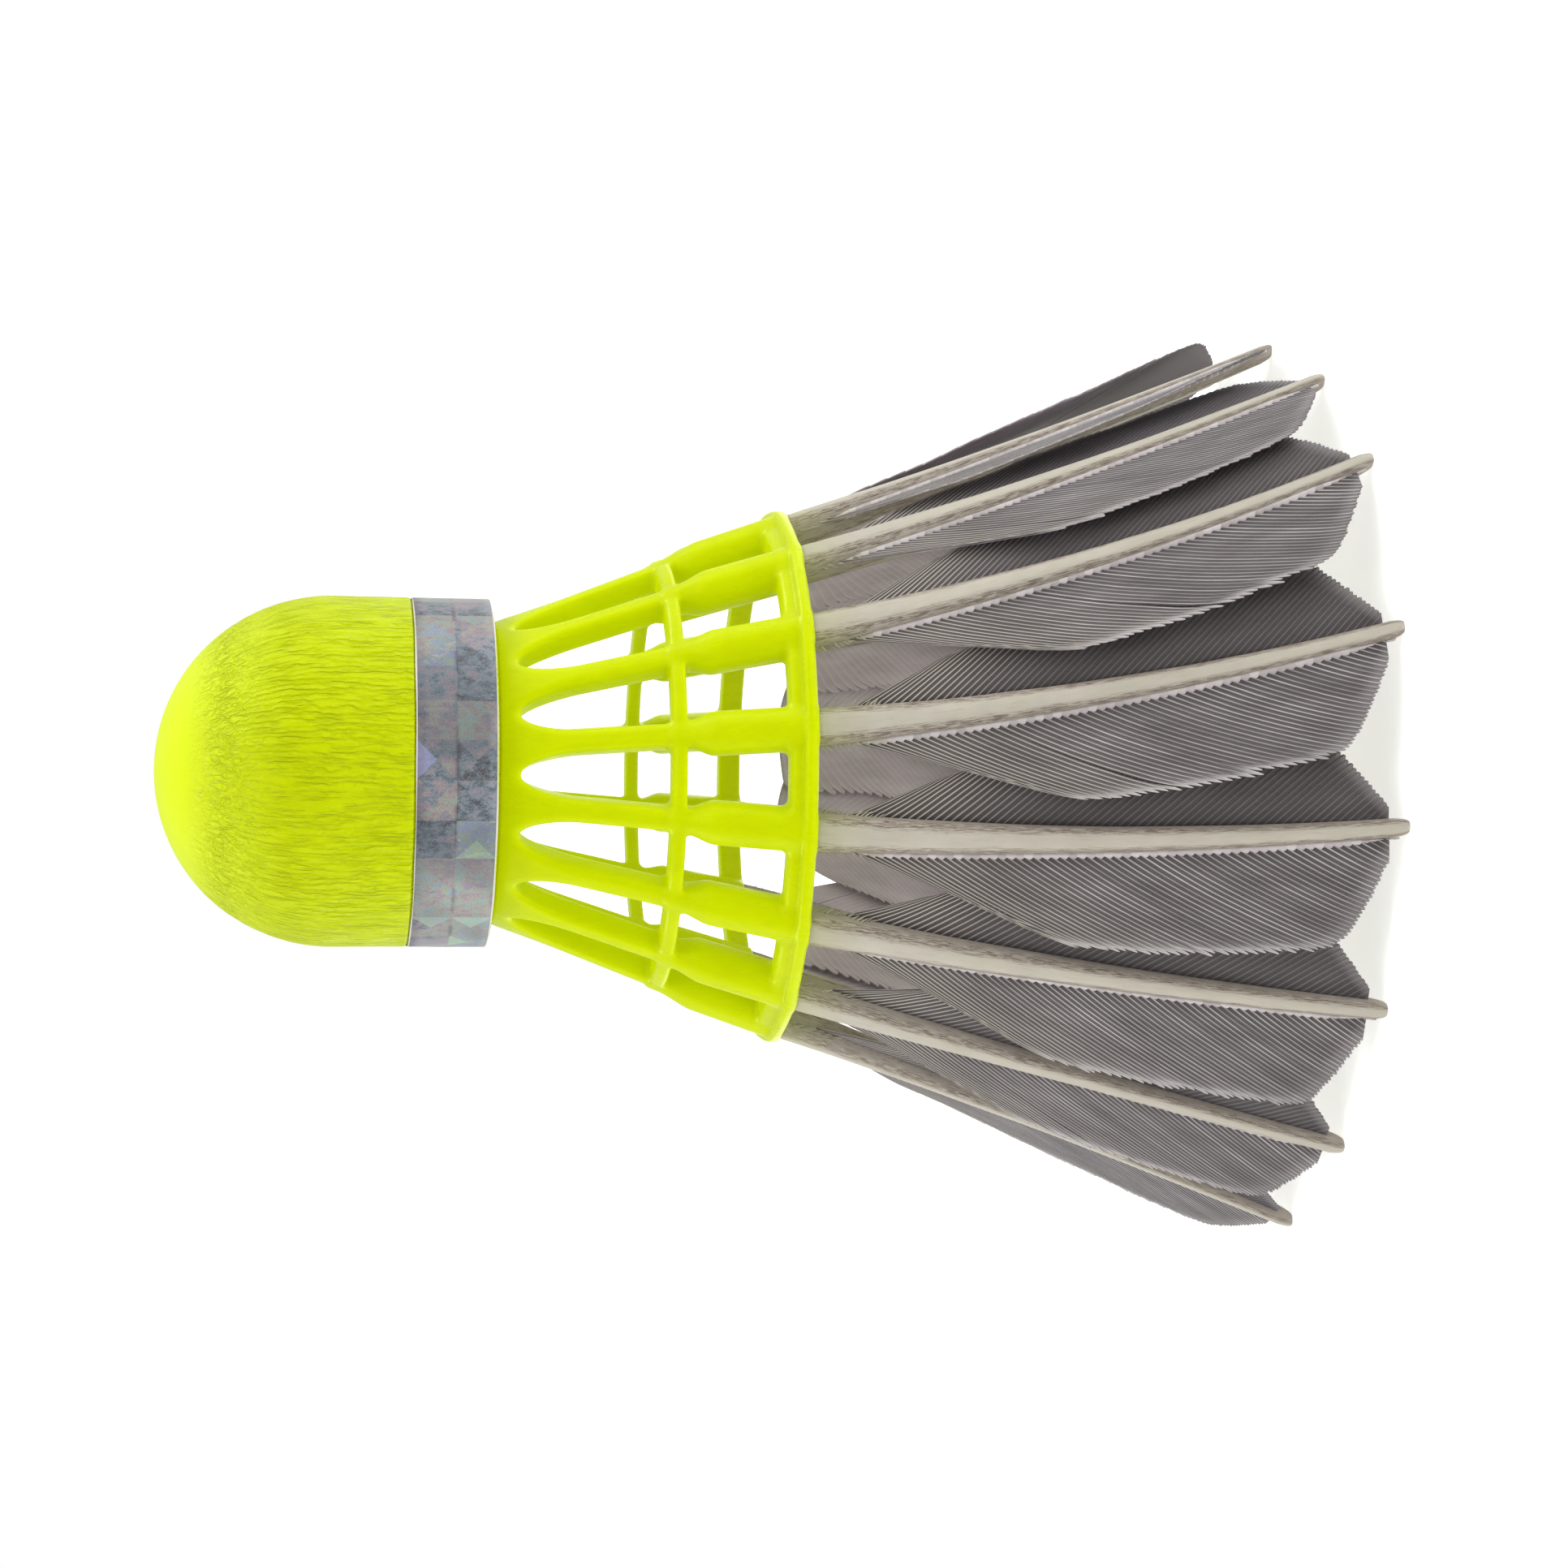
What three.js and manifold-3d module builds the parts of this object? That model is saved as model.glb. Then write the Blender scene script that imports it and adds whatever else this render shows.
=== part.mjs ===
// A badminton shuttlecock: a cork head in a soft cover, a moulded plastic basket pushed into
// the head, and sixteen feathers held in the basket's sockets.
// Millimetres, +Z up. It stands on its feather tips with the cork on top. The origin is the
// centre of the circle of tips, in the plane they stand on.
import * as THREE from 'three';
import { mergeVertices } from 'three/addons/utils/BufferGeometryUtils.js';
import Module from 'manifold-3d';

const wasm = await Module();
wasm.setup();

const radians = THREE.MathUtils.degToRad;
const mix = THREE.MathUtils.lerp;

// Driving dimensions. A height is measured up from the tips.
const FEATHERS = 16;
const PITCH = (2 * Math.PI) / FEATHERS;
const HEAD = { radius: 13, nose: 84, rim: 59.5, sides: 32, domeSteps: 7 };
const COVER = {
  thickness: 0.5,
  edge: 65.5, // where the band starts
  lappedRadius: 12.8, // under the band
  foldRadius: 11.5, // the cover is folded under the cork as far in as this
  foldThickness: 0.3,
};
const TAPE = { inner: 12.84, outer: 12.98, bottom: 59.6, top: 65.4 };
const CORK = { clearance: 0.08, glueLine: 69.6, glueGap: 0.1 };
const PLUG = { radius: 8, top: 68, wall: 1.3, clearance: 0.1, ventRadius: 1 };
const BASKET = {
  top: 59.4, // the collar's face, under the cork
  collarRadius: 11.2,
  slope: 0.4, // growth of the outside radius for each mm down
  wall: 1.9,
  flange: 1.4, // thickness of the roof between collar and plug
  strutWidth: 1.65,
  sides: 32,
};
const UPPER_WINDOW = { bottom: 47.55, shoulder: 53.5, top: 57.85, archSteps: 8 };
const LOWER_WINDOW = { bottom: 39.6, top: 46.5 };
const CROWN = { bottom: 37.8, beadTop: 38.6, beadProud: 0.25, bandInset: 0.15 };
const SHAFT = {
  crownRadius: 18.5, // the centre line's radius where it leaves the crown
  spread: 13.6, // growth of that radius from crown to tip, straight part
  flare: 1.7, // and its curved part
  swirl: radians(7.1), // how far a tip leads its socket about the axis
  swirlPower: 1.35,
  crownWidth: 2.4,
  crownDepth: 2.45,
  tipWidth: 1.25,
  tipDepth: 1.35,
  quillTop: 44, // inside the socket
  quillTaper: 0.72, // size at the quill's top, against its size at the crown
  sides: 8,
  steps: 7,
};
const SOCKET = { sides: 10, boreTop: 44.8, boreClearance: 0.12, boreSides: 8 };
// From the pointed ridge on the strut to the mouth: a section's height, its shift
// outwards from the quill's centre line, its width and its depth.
const SOCKET_SECTIONS = [
  { height: 47.3, shift: 0.7, width: 0.7, depth: 0.7 },
  { height: 46.1, shift: 0.45, width: 2.2, depth: 2.2 },
  { height: 44.6, shift: 0, width: 3, depth: 3.1 },
  { height: CROWN.bottom, shift: 0, width: 3.1, depth: 3.2 },
];
const VANE = { thickness: 0.32, shaftGap: 0.12, acrossSteps: 3 };
// A vane's outline: how far down the shaft's free length, as a share of it, and how far
// the vane's edge is from the shaft's centre line there. The lift at its root is outwards
// from the centre line, and it rises from there by so much for each mm across.
const OVER_VANE = {
  side: -1, // it laps over the next feather
  rootLift: 0.3,
  rise: 0.24,
  outline: [[0.1, 1.7], [0.2, 4.1], [0.31, 5.9], [0.5, 7.2], [0.7, 7.5], [0.88, 7.2], [0.985, 1.2]],
};
const UNDER_VANE = {
  side: 1, // it lies inside the next feather's over vane
  rootLift: -0.05,
  rise: -0.02,
  outline: [[0.1, 1.7], [0.2, 3.9], [0.31, 5.3], [0.45, 6.5], [0.7, 6.7], [0.86, 6.4], [0.98, 1.3]],
};

const moulding = new THREE.MeshStandardMaterial({ color: 0xcfe000, roughness: 0.3 });
const leather = new THREE.MeshStandardMaterial({ color: 0xc8e010, roughness: 0.45 });
const foil = new THREE.MeshStandardMaterial({ color: 0xb4b8c4, roughness: 0.2, metalness: 0.9 });
const cork = new THREE.MeshStandardMaterial({ color: 0xb98a5a, roughness: 0.9 });
const quill = new THREE.MeshStandardMaterial({ color: 0xcfcbbf, roughness: 0.5 });
const barbs = new THREE.MeshStandardMaterial({ color: 0x5a5250, roughness: 0.8 });

// A lathe turns about Y, so each turned piece is stood up on Z.
function turned(profile, sides) {
  const points = profile.map(([radius, height]) => new THREE.Vector2(radius, height));
  return new THREE.LatheGeometry(points, sides).rotateX(Math.PI / 2);
}

// Points of a dome, from its equator up to its apex on the axis.
function dome(radius, centreHeight) {
  const points = [];
  for (let i = 0; i < HEAD.domeSteps; i += 1) {
    const angle = (Math.PI / 2) * (i / HEAD.domeSteps);
    points.push([radius * Math.cos(angle), centreHeight + radius * Math.sin(angle)]);
  }
  points.push([0, centreHeight + radius]);
  return points;
}

// Moves every vertex of a geometry to the place that a function gives for it.
function bend(geometry, place) {
  const points = geometry.attributes.position;
  const point = new THREE.Vector3();
  for (let i = 0; i < points.count; i += 1) {
    point.fromBufferAttribute(points, i);
    points.setXYZ(i, ...place(point));
  }
  geometry.computeVertexNormals();
  return geometry;
}

function toSolid(geometry) {
  const bare = geometry.clone();
  bare.deleteAttribute('normal');
  bare.deleteAttribute('uv');
  const merged = mergeVertices(bare);
  return new wasm.Manifold(new wasm.Mesh({
    numProp: 3,
    vertProperties: new Float32Array(merged.attributes.position.array),
    triVerts: new Uint32Array(merged.index.array),
  }));
}

function toGeometry(solid) {
  const mesh = solid.getMesh();
  const geometry = new THREE.BufferGeometry();
  geometry.setAttribute('position', new THREE.BufferAttribute(mesh.vertProperties, 3));
  geometry.setIndex(new THREE.BufferAttribute(mesh.triVerts, 1));
  const faceted = geometry.toNonIndexed();
  faceted.computeVertexNormals();
  return faceted;
}

// The head's centre of curvature: its nose is half a ball.
const noseCentre = HEAD.nose - HEAD.radius;
const coverInside = HEAD.radius - COVER.thickness;
const corkRadius = coverInside - CORK.clearance;

function coverGeometry() {
  const inside = dome(coverInside, noseCentre).reverse();
  const folded = [
    [coverInside, HEAD.rim + COVER.foldThickness],
    [COVER.foldRadius, HEAD.rim + COVER.foldThickness],
    [COVER.foldRadius, HEAD.rim],
    [COVER.lappedRadius, HEAD.rim],
    [COVER.lappedRadius, COVER.edge],
    [HEAD.radius, COVER.edge],
  ];
  return turned([...inside, ...folded, ...dome(HEAD.radius, noseCentre)], HEAD.sides);
}

function tapeGeometry() {
  const section = [
    [TAPE.inner, TAPE.top],
    [TAPE.inner, TAPE.bottom],
    [TAPE.outer, TAPE.bottom],
    [TAPE.outer, TAPE.top],
    [TAPE.inner, TAPE.top],
  ];
  return turned(section, HEAD.sides);
}

function corkNoseGeometry() {
  const foot = CORK.glueLine + CORK.glueGap;
  return turned([[0, foot], [corkRadius, foot], ...dome(corkRadius, noseCentre)], HEAD.sides);
}

function corkBaseGeometry() {
  const bore = PLUG.radius + PLUG.clearance;
  const boreTop = PLUG.top + PLUG.clearance;
  const foot = HEAD.rim + COVER.foldThickness + CORK.clearance;
  const section = [
    [0, boreTop],
    [bore, boreTop],
    [bore, foot],
    [corkRadius, foot],
    [corkRadius, CORK.glueLine],
    [0, CORK.glueLine],
  ];
  return turned(section, HEAD.sides);
}

// The basket's outside radius between its features.
function coneRadius(height) {
  return BASKET.collarRadius + BASKET.slope * (BASKET.top - height);
}

// The basket before its windows are cut: a cone with a beaded crown, and a cup-shaped plug
// that stands up into the cork. The cup is open towards the feathers and has a small vent
// hole in its end, which lets air and spare glue out.
function basketBlank() {
  const roof = BASKET.top - BASKET.flange;
  const crownRadius = coneRadius(CROWN.bottom);
  const bandRadius = coneRadius(LOWER_WINDOW.bottom) - CROWN.bandInset;
  const beadRadius = crownRadius + CROWN.beadProud;
  const plugInside = PLUG.radius - PLUG.wall;
  const section = [
    [PLUG.ventRadius, PLUG.top - PLUG.wall],
    [plugInside, PLUG.top - PLUG.wall],
    [plugInside, roof],
    [coneRadius(roof) - BASKET.wall, roof],
    [crownRadius - BASKET.wall, CROWN.bottom],
    [beadRadius, CROWN.bottom],
    [beadRadius, CROWN.beadTop],
    [bandRadius, CROWN.beadTop],
    [bandRadius, LOWER_WINDOW.bottom],
    [coneRadius(LOWER_WINDOW.bottom), LOWER_WINDOW.bottom],
    [BASKET.collarRadius, BASKET.top],
    [PLUG.radius, BASKET.top],
    [PLUG.radius, PLUG.top],
    [PLUG.ventRadius, PLUG.top],
    [PLUG.ventRadius, PLUG.top - PLUG.wall],
  ];
  return toSolid(turned(section, BASKET.sides));
}

// Half the gap between two struts at a height.
function halfWindow(height) {
  return coneRadius(height) * Math.sin(PITCH / 2) - BASKET.strutWidth / 2;
}

// A cutter for one window, pointing outwards along -Y from inside the wall.
function windowCutter(outline) {
  const start = BASKET.collarRadius - 2 * BASKET.wall;
  const geometry = new THREE.ExtrudeGeometry(outline, { depth: HEAD.radius, bevelEnabled: false });
  return toSolid(geometry.rotateX(Math.PI / 2).translate(0, -start, 0));
}

// The windows between collar and middle ring have arched tops.
function upperWindow() {
  const { bottom, shoulder, top, archSteps } = UPPER_WINDOW;
  const outline = new THREE.Shape();
  outline.moveTo(-halfWindow(bottom), bottom);
  outline.lineTo(halfWindow(bottom), bottom);
  for (let i = 0; i <= archSteps; i += 1) {
    const angle = (Math.PI * i) / archSteps;
    const across = halfWindow(shoulder) * Math.cos(angle);
    outline.lineTo(across, shoulder + (top - shoulder) * Math.sin(angle));
  }
  return windowCutter(outline);
}

function lowerWindow() {
  const { bottom, top } = LOWER_WINDOW;
  const outline = new THREE.Shape();
  outline.moveTo(-halfWindow(bottom), bottom);
  outline.lineTo(halfWindow(bottom), bottom);
  outline.lineTo(halfWindow(top), top);
  outline.lineTo(-halfWindow(top), top);
  return windowCutter(outline);
}

// The shaft's centre line at a height: its radius from the axis, and its turn about the
// axis away from its socket. Inside the socket it is straight.
function shaftAt(height) {
  const along = 1 - height / CROWN.bottom;
  const free = Math.max(along, 0);
  return {
    radius: SHAFT.crownRadius + SHAFT.spread * along + SHAFT.flare * free ** 2,
    turn: SHAFT.swirl * free ** SHAFT.swirlPower,
  };
}

// A point by the shaft: across it, towards the side that leads, and outwards from it.
function besideShaft(height, across, outwards) {
  const centre = shaftAt(height);
  const radius = centre.radius + outwards;
  const angle = centre.turn + across / centre.radius;
  return [radius * Math.sin(angle), -radius * Math.cos(angle), height];
}

// A rod along the shaft's line through level sections, with flats to its sides.
function rod(sections, sides) {
  const steps = sections.length - 1;
  const cylinder = new THREE.CylinderGeometry(1, 1, steps, sides, steps);
  cylinder.rotateY(Math.PI / sides);
  const toFlat = 2 * Math.cos(Math.PI / sides);
  return bend(cylinder, (point) => {
    const section = sections[Math.round(steps / 2 - point.y)];
    const across = (-point.z * section.width) / toFlat;
    const outwards = section.shift + (point.x * section.depth) / toFlat;
    return besideShaft(section.height, across, outwards);
  });
}

// The quill's section at a height inside the socket, grown by a clearance.
function quillSection(height, clearance) {
  const inside = (height - CROWN.bottom) / (SHAFT.quillTop - CROWN.bottom);
  const taper = mix(1, SHAFT.quillTaper, inside);
  return {
    height,
    shift: 0,
    width: SHAFT.crownWidth * taper + 2 * clearance,
    depth: SHAFT.crownDepth * taper + 2 * clearance,
  };
}

function shaftGeometry() {
  const sections = [quillSection(SHAFT.quillTop, 0)];
  for (let i = 0; i <= SHAFT.steps; i += 1) {
    const along = i / SHAFT.steps;
    sections.push({
      height: CROWN.bottom * (1 - along),
      shift: 0,
      width: mix(SHAFT.crownWidth, SHAFT.tipWidth, along),
      depth: mix(SHAFT.crownDepth, SHAFT.tipDepth, along),
    });
  }
  return rod(sections, SHAFT.sides);
}

// A thin curved sheet beside the shaft, from near the shaft's side out to its outline.
function vaneGeometry(vane) {
  const steps = vane.outline.length - 1;
  const sheet = new THREE.BoxGeometry(1, steps, 1, 1, steps, VANE.acrossSteps);
  return bend(sheet, (point) => {
    const [along, edge] = vane.outline[Math.round(steps / 2 - point.y)];
    const root = mix(SHAFT.crownWidth, SHAFT.tipWidth, along) / 2 + VANE.shaftGap;
    const across = mix(root, edge, 0.5 - vane.side * point.z);
    const outwards = vane.rootLift + vane.rise * (across - root) + point.x * VANE.thickness;
    return besideShaft(CROWN.bottom * (1 - along), vane.side * across, outwards);
  });
}

// The whole basket: the cone with two rows of windows cut and a bored socket on each strut.
function basketGeometry() {
  const socket = toSolid(rod(SOCKET_SECTIONS, SOCKET.sides));
  const mouth = quillSection(CROWN.bottom, SOCKET.boreClearance);
  const boreSections = [
    quillSection(SOCKET.boreTop, SOCKET.boreClearance),
    { ...mouth, height: CROWN.bottom - 1 },
  ];
  const bore = toSolid(rod(boreSections, SOCKET.boreSides));
  const upper = upperWindow();
  const lower = lowerWindow();
  let basket = basketBlank();
  for (let i = 0; i < FEATHERS; i += 1) {
    const turn = [0, 0, (360 / FEATHERS) * i];
    basket = basket.subtract(upper.rotate(turn)).subtract(lower.rotate(turn));
  }
  for (let i = 0; i < FEATHERS; i += 1) {
    const turn = [0, 0, (360 / FEATHERS) * (i + 0.5)];
    basket = basket.add(socket.rotate(turn)).subtract(bore.rotate(turn));
  }
  return toGeometry(basket);
}

function named(name, geometry, material) {
  const mesh = new THREE.Mesh(geometry, material);
  mesh.name = name;
  return mesh;
}

const headGroup = new THREE.Group();
headGroup.add(
  named('cork_nose', corkNoseGeometry(), cork),
  named('cork_base', corkBaseGeometry(), cork),
  named('head_cover', coverGeometry(), leather),
  named('rim_tape', tapeGeometry(), foil),
);

const shuttlecock = new THREE.Group();
shuttlecock.add(headGroup, named('skirt_frame', basketGeometry(), moulding));

const shaft = shaftGeometry();
const overVane = vaneGeometry(OVER_VANE);
const underVane = vaneGeometry(UNDER_VANE);
for (let i = 0; i < FEATHERS; i += 1) {
  const number = String(i + 1).padStart(2, '0');
  const feather = new THREE.Group();
  feather.rotation.z = (i + 0.5) * PITCH;
  feather.add(
    named(`shaft_${number}`, shaft, quill),
    named(`over_vane_${number}`, overVane, barbs),
    named(`under_vane_${number}`, underVane, barbs),
  );
  shuttlecock.add(feather);
}

export default shuttlecock;
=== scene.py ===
import math

import bpy
import numpy as np
from mathutils import Matrix, Vector, noise


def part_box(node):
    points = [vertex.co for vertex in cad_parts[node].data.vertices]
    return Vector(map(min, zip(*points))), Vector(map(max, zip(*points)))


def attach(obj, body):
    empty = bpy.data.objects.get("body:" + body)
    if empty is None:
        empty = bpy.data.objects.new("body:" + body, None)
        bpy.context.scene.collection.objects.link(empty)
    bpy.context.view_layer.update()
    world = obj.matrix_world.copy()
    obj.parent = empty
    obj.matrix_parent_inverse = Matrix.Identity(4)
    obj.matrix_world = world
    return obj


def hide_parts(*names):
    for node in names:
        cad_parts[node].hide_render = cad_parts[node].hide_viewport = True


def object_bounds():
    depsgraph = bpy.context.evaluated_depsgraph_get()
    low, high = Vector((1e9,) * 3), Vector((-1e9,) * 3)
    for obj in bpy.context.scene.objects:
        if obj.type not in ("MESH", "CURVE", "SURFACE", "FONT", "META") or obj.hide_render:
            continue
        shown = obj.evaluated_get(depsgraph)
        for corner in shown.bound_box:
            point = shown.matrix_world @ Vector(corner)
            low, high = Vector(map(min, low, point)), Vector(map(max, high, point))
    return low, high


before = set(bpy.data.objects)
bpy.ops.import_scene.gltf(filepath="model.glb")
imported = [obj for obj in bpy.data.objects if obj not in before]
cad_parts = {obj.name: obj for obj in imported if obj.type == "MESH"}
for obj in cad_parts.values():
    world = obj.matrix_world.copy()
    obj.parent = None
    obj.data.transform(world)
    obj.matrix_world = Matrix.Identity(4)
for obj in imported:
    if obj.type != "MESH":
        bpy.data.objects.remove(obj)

MM = 0.001
CAD_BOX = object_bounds()


def node_box(name):
    """Lowest and highest corner of a CAD node, in millimetres."""
    low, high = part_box(name)
    return np.array(low) / MM, np.array(high) / MM


HEAD_LOW, HEAD_HIGH = node_box("head_cover")
TAPE_LOW, TAPE_HIGH = node_box("rim_tape")
BASKET_LOW, BASKET_HIGH = node_box("skirt_frame")
FEATHERS = sum(name.startswith("shaft_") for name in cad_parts)
PITCH = 2 * math.pi / FEATHERS
CROWN = BASKET_LOW[2]  # height of the basket's lower edge


# ------ mesh helpers

def turned_out(points, faces):
    """Faces of one closed body, given as blocks, all turned round if they point inwards."""
    corners = np.reshape(points, (-1, 3))
    volume = 0
    for block in faces:
        shape = corners[np.asarray(block)]
        for k in range(1, shape.shape[1] - 1):
            volume += np.einsum("ij,ij->", shape[:, 0], np.cross(shape[:, k], shape[:, k + 1]))
    return faces if volume > 0 else [np.asarray(block)[:, ::-1] for block in faces]


def make_object(name, points, faces, material, maps=None):
    """A mesh object from points in mm and blocks of quads or triangles. maps holds one value
    or pair for each point: pairs become a UV map, and single values become an attribute."""
    mesh = bpy.data.meshes.new(name)
    corners = np.concatenate([np.asarray(block, np.int32).ravel() for block in faces])
    sizes = np.concatenate([np.full(len(block), np.shape(block)[1], np.int32) for block in faces])
    starts = np.concatenate([[0], np.cumsum(sizes)[:-1]]).astype(np.int32)
    mesh.vertices.add(len(points))
    mesh.vertices.foreach_set("co", (np.asarray(points) * MM).astype(np.float32).ravel())
    mesh.loops.add(len(corners))
    mesh.loops.foreach_set("vertex_index", corners)
    mesh.polygons.add(len(sizes))
    mesh.polygons.foreach_set("loop_start", starts)
    mesh.polygons.foreach_set("use_smooth", np.full(len(sizes), True))
    for map_name, values in (maps or {}).items():
        values = np.asarray(values, np.float32)
        if values.ndim == 2:
            layer = mesh.uv_layers.new(name=map_name)
            layer.data.foreach_set("uv", values[corners].ravel())
        else:
            layer = mesh.attributes.new(map_name, "FLOAT", "POINT")
            layer.data.foreach_set("value", values)
    mesh.update(calc_edges=True)
    mesh.validate()
    mesh.materials.append(material)
    made = bpy.data.objects.new(name, mesh)
    bpy.context.scene.collection.objects.link(made)
    return made


def make_piece(name, points, faces, material, slot, stands_for, maps=None):
    """A piece of the shuttlecock, made of closed bodies, in place of its CAD nodes."""
    piece = make_object(name, points, turned_out(points, faces), material, maps)
    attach(piece, "root")
    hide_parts(*stands_for)


def circle(count):
    """Angles in even steps once round."""
    return np.arange(count) * 2 * math.pi / count


def stacked(*values):
    """Arrays brought to one shape and stacked as the columns of points or pairs."""
    return np.stack(np.broadcast_arrays(*values), -1)


def round_axis(radius, angle, height):
    """Points by distance from the axis, angle from -Y towards +X, and height."""
    return stacked(radius * np.sin(angle), -radius * np.cos(angle), height)


def loft_faces(rings, around, closed=False):
    """Quads between rings of points numbered ring by ring, each ring a closed loop."""
    ring = np.arange(rings if closed else rings - 1)[:, None]
    column = np.arange(around)[None, :]
    above = (ring + 1) % rings
    right = (column + 1) % around
    corners = [ring * around + column, ring * around + right, above * around + right,
               above * around + column]
    return np.stack(corners, -1).reshape(-1, 4)


def cap_faces(first, around):
    """Quads across a ring whose points come in facing pairs, as a flat sheet's edge has."""
    pair = np.arange(around // 2 - 1)
    return np.stack([pair, pair + 1, around - 2 - pair, around - 1 - pair], -1) + first


def fan_faces(first, around, centre):
    """Triangles from a ring of points to one centre point."""
    column = np.arange(around)
    return np.stack([first + column, first + (column + 1) % around, np.full(around, centre)], -1)


def with_ends(grid, ends):
    """The values of a grid of rings as one list, followed by those of its two end points."""
    return np.concatenate([grid.reshape(-1, *grid.shape[2:]), ends])


def capped_loft(grid, ends=None):
    """The points and faces of a closed body: rings of points, and a point at each end, which
    is the middle of the first or last ring unless ends says where."""
    rings, around = grid.shape[:2]
    if ends is None:
        ends = [grid[0].mean(0), grid[-1].mean(0)]
    tail = rings * around
    faces = [loft_faces(rings, around), fan_faces(0, around, tail)[:, ::-1],
             fan_faces(tail - around, around, tail + 1)]
    return with_ends(grid, ends), faces


def smoothstep(low, high, value):
    """A share that eases from 0 at low to 1 at high."""
    share = np.clip((value - low) / (high - low), 0, 1)
    return share * share * (3 - 2 * share)


def noise_at(points, scale, seed):
    """Smooth noise from -1 to 1 at points given as an array."""
    shift = Vector((seed * 7.31, seed * 3.17, seed * 5.77))
    flat = points.reshape(-1, 3) * scale
    values = [noise.noise(Vector(point) + shift) for point in flat.tolist()]
    return np.array(values).reshape(points.shape[:-1])


# ------ material helpers

class Shader:
    """A material's nodes. Its methods add nodes and return their output sockets."""

    def __init__(self, name):
        self.material = bpy.data.materials.new(name)
        self.material.use_nodes = True
        self.tree = self.material.node_tree
        self.surface = self.tree.nodes["Principled BSDF"]

    def add(self, kind, output=0, settings=None, **inputs):
        node = self.tree.nodes.new("ShaderNode" + kind)
        for key, value in (settings or {}).items():
            setattr(node, key, value)
        for key, value in inputs.items():
            self.put(node.inputs[int(key[1:]) if key[0] == "_" else key.replace("_", " ")], value)
        return node.outputs[output]

    def put(self, socket, value):
        if isinstance(value, bpy.types.NodeSocket):
            self.tree.links.new(value, socket)
        else:
            socket.default_value = value

    def set(self, **inputs):
        for key, value in inputs.items():
            self.put(self.surface.inputs[key.replace("_", " ")], value)

    def math(self, operation, first, second=0.0, clamp=False):
        settings = {"operation": operation, "use_clamp": clamp}
        return self.add("Math", settings=settings, _0=first, _1=second)

    def times(self, first, second):
        return self.math("MULTIPLY", first, second)

    def plus(self, first, second, clamp=False):
        return self.math("ADD", first, second, clamp)

    def off_half(self, value):
        return self.math("ABSOLUTE", self.math("SUBTRACT", value, 0.5))

    def vector_math(self, operation, vector, output=0):
        return self.add("VectorMath", output, {"operation": operation}, _0=vector)

    def split(self, vector):
        """The x and y of a vector."""
        outputs = self.add("SeparateXYZ", Vector=vector).node.outputs
        return outputs["X"], outputs["Y"]

    def mix(self, share, first, second):
        """A mix of two colours, each a socket or sRGB values of 0 to 255."""
        first, second = [colour(*tone) if isinstance(tone, tuple) else tone
                         for tone in (first, second)]
        return self.add("Mix", 2, {"data_type": "RGBA"}, _0=share, _6=first, _7=second)

    def ramp(self, value, stops):
        """A colour ramp from (position, sRGB values) stops."""
        output = self.add("ValToRGB", Fac=value)
        elements = output.node.color_ramp.elements
        while len(elements) < len(stops):
            elements.new(0.5)
        for element, (position, tone) in zip(elements, stops):
            element.position = position
            element.color = colour(*tone)
        return output

    def range(self, value, low, high, to_low=0.0, to_high=1.0):
        return self.add("MapRange", _0=value, _1=low, _2=high, _3=to_low, _4=to_high)

    def stretched(self, coordinate, x, y, z):
        return self.add("Mapping", _0=coordinate, _3=(x, y, z))

    def noise(self, coordinate, scale, detail=2.0, roughness=0.5, distortion=0.0):
        return self.add("TexNoise", Vector=coordinate, Scale=scale, Detail=detail,
                        Roughness=roughness, Distortion=distortion)

    def bump(self, height, strength, distance, normal=None):
        """A bumped normal. distance is in mm."""
        inputs = {"Height": height, "Strength": strength, "Distance": distance * MM}
        if normal is not None:
            inputs["Normal"] = normal
        return self.add("Bump", **inputs)

    def place(self):
        """The object's own coordinates, in mm."""
        return self.stretched(self.add("TexCoord", output="Object"), 1 / MM, 1 / MM, 1 / MM)

    def uv(self, name):
        return self.add("UVMap", settings={"uv_map": name})

    def attribute(self, name):
        return self.add("Attribute", output="Fac", settings={"attribute_name": name})


def colour(red, green, blue):
    """A linear colour from sRGB values of 0 to 255."""
    def linear(value):
        share = value / 255
        return share / 12.92 if share <= 0.04045 else ((share + 0.055) / 1.055) ** 2.4
    return (linear(red), linear(green), linear(blue), 1.0)


# ------ materials

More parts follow.
